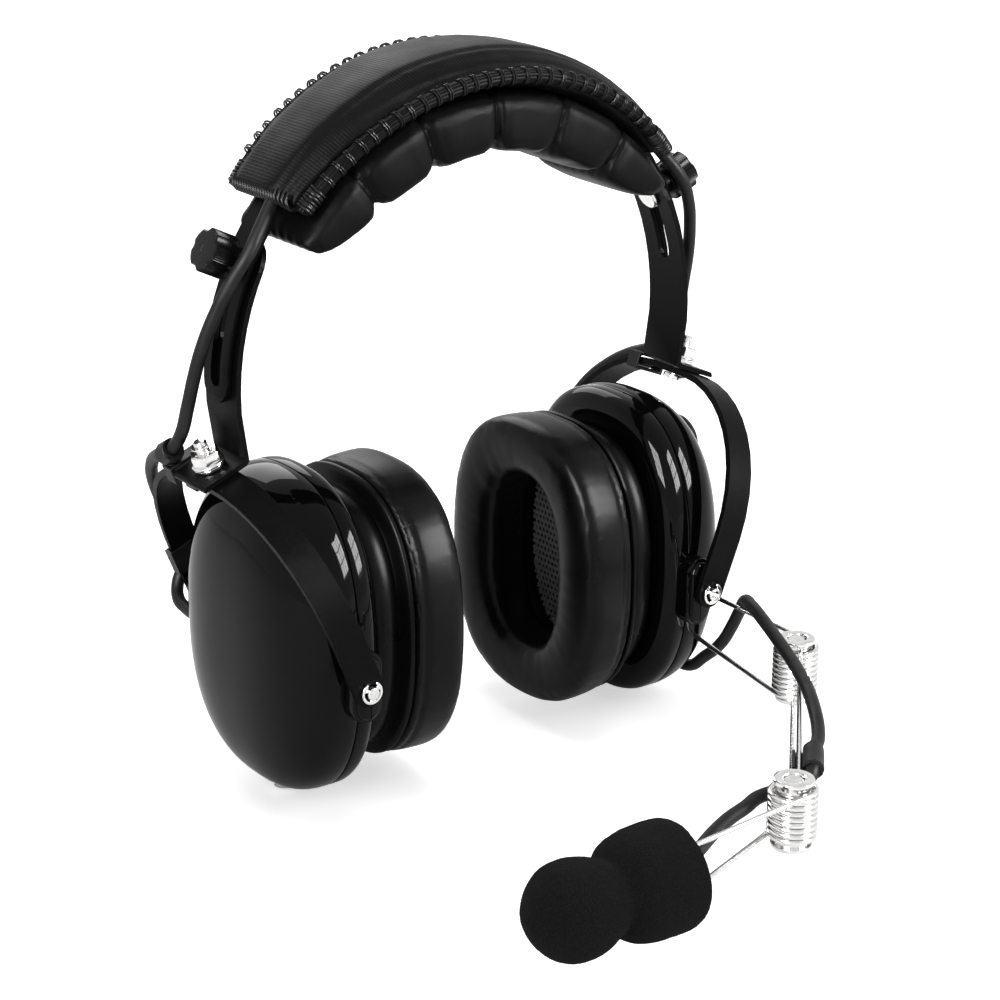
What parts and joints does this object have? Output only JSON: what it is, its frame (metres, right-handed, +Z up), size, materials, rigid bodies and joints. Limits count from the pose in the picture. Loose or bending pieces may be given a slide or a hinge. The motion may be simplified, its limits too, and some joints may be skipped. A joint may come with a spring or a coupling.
{
  "type": "aviation headset",
  "caption": "Over-ear aviation headset with padded sprung band, yoke-hung ear cups and a wire boom carrying a foam-covered microphone.",
  "frame": {"origin": "crown of the head, at the middle of the head pad's underside", "axes": "+Z up, the wearer faces -Y, the wearer's left ear is at +X"},
  "size_m": [0.1935, 0.2308, 0.2221],
  "materials": {
    "satin_black": "satin black paint and black moulded plastic",
    "gloss_black": "polished black moulding",
    "bright_metal": "bright plated metal",
    "black_rubber": "matte black rubber",
    "leather_black": "satin black synthetic leather",
    "black_foam": "open black foam"
  },
  "bodies": {
    "band": {"band_spring": "satin_black", "band_cover": "leather_black", "head_pad": "leather_black", "front_piping": "leather_black", "rear_piping": "leather_black", "left_clamp_bolt": "bright_metal", "right_clamp_bolt": "bright_metal", "crossover_cable": "black_rubber"},
    "left_knob": {"left_knob": "satin_black"},
    "left_slider": {"left_slider": "satin_black", "left_swivel_bolt": "bright_metal", "left_swivel_washer": "satin_black", "left_swivel_nut": "bright_metal"},
    "left_yoke": {"left_yoke": "satin_black", "left_cable_clip": "satin_black", "left_cable_sleeve": "black_rubber", "left_crossover_cable": "black_rubber"},
    "left_cup": {"left_shell": "gloss_black", "left_shell_base": "gloss_black", "left_front_pin": "bright_metal", "left_rear_pin": "bright_metal", "left_front_clip": "bright_metal", "left_rear_clip": "bright_metal", "left_seal_ring": "satin_black", "left_seal": "leather_black", "left_grille": "satin_black", "left_foam_liner": "black_foam", "left_speaker": "satin_black", "volume_pot": "bright_metal", "boom_link_1": "bright_metal"},
    "right_knob": {"right_knob": "satin_black"},
    "right_slider": {"right_slider": "satin_black", "right_swivel_bolt": "bright_metal", "right_swivel_washer": "satin_black", "right_swivel_nut": "bright_metal"},
    "right_yoke": {"right_yoke": "satin_black", "right_cable_clip": "satin_black", "right_cable_sleeve": "black_rubber", "right_crossover_cable": "black_rubber"},
    "right_cup": {"right_shell": "gloss_black", "right_shell_base": "gloss_black", "right_front_pin": "bright_metal", "right_rear_pin": "bright_metal", "right_front_clip": "bright_metal", "right_rear_clip": "bright_metal", "right_seal_ring": "satin_black", "right_seal": "leather_black", "right_grille": "satin_black", "right_foam_liner": "black_foam", "right_speaker": "satin_black", "right_cord_gland": "bright_metal"},
    "volume_knob": {"volume_knob": "satin_black"},
    "boom_middle": {"boom_link_2": "bright_metal", "boom_cap_1": "bright_metal", "boom_cap_2": "bright_metal", "boom_cable_clip": "black_rubber", "mic_cable": "black_rubber"},
    "boom_end": {"boom_link_3": "bright_metal", "mic_housing": "satin_black", "mic_muff": "black_foam"}
  },
  "joints": [
    {"name": "left_slide", "type": "hinge", "parent": "band", "child": "left_slider", "pos_m": [0, 0, -0.0626], "axis": [0, -1, 0], "range_deg": [0, 10], "deforming": ["left_crossover_cable"]},
    {"name": "left_knob_turn", "type": "hinge", "parent": "band", "child": "left_knob", "pos_m": [0.08255, 0, -0.02198], "axis": [0.8973, 0, 0.4415], "continuous": true},
    {"name": "left_yoke_swivel", "type": "hinge", "parent": "left_slider", "child": "left_yoke", "pos_m": [0.08825, 0, -0.08445], "axis": [0.3746, 0, 0.9272], "range_deg": [-10, 10]},
    {"name": "left_cup_tilt", "type": "hinge", "parent": "left_yoke", "child": "left_cup", "pos_m": [0.0648, 0, -0.1442], "axis": [0, 1, 0], "range_deg": [-10, 10]},
    {"name": "right_slide", "type": "hinge", "parent": "band", "child": "right_slider", "pos_m": [0, 0, -0.0626], "axis": [0, 1, 0], "range_deg": [0, 10], "deforming": ["right_crossover_cable"]},
    {"name": "right_knob_turn", "type": "hinge", "parent": "band", "child": "right_knob", "pos_m": [-0.08255, 0, -0.02198], "axis": [-0.8973, 0, 0.4415], "continuous": true},
    {"name": "right_yoke_swivel", "type": "hinge", "parent": "right_slider", "child": "right_yoke", "pos_m": [-0.08825, 0, -0.08445], "axis": [-0.3746, 0, 0.9272], "range_deg": [-10, 10]},
    {"name": "right_cup_tilt", "type": "hinge", "parent": "right_yoke", "child": "right_cup", "pos_m": [-0.0648, 0, -0.1442], "axis": [0, 1, 0], "range_deg": [-10, 10]},
    {"name": "volume_turn", "type": "hinge", "parent": "left_cup", "child": "volume_knob", "pos_m": [0.08414, 0.004, -0.1132], "axis": [0.985, 0.03, 0.17], "range_deg": [-150, 150]},
    {"name": "boom_hinge_1", "type": "hinge", "parent": "left_cup", "child": "boom_middle", "pos_m": [0.0664, -0.0844, -0.15696], "axis": [0, 0, 1], "range_deg": [-20, 60], "deforming": ["mic_cable"]},
    {"name": "boom_hinge_2", "type": "hinge", "parent": "boom_middle", "child": "boom_end", "pos_m": [-0.0005, -0.1557, -0.15696], "axis": [0, 0, 1], "range_deg": [-35, 45], "deforming": ["mic_cable"]}
  ]
}
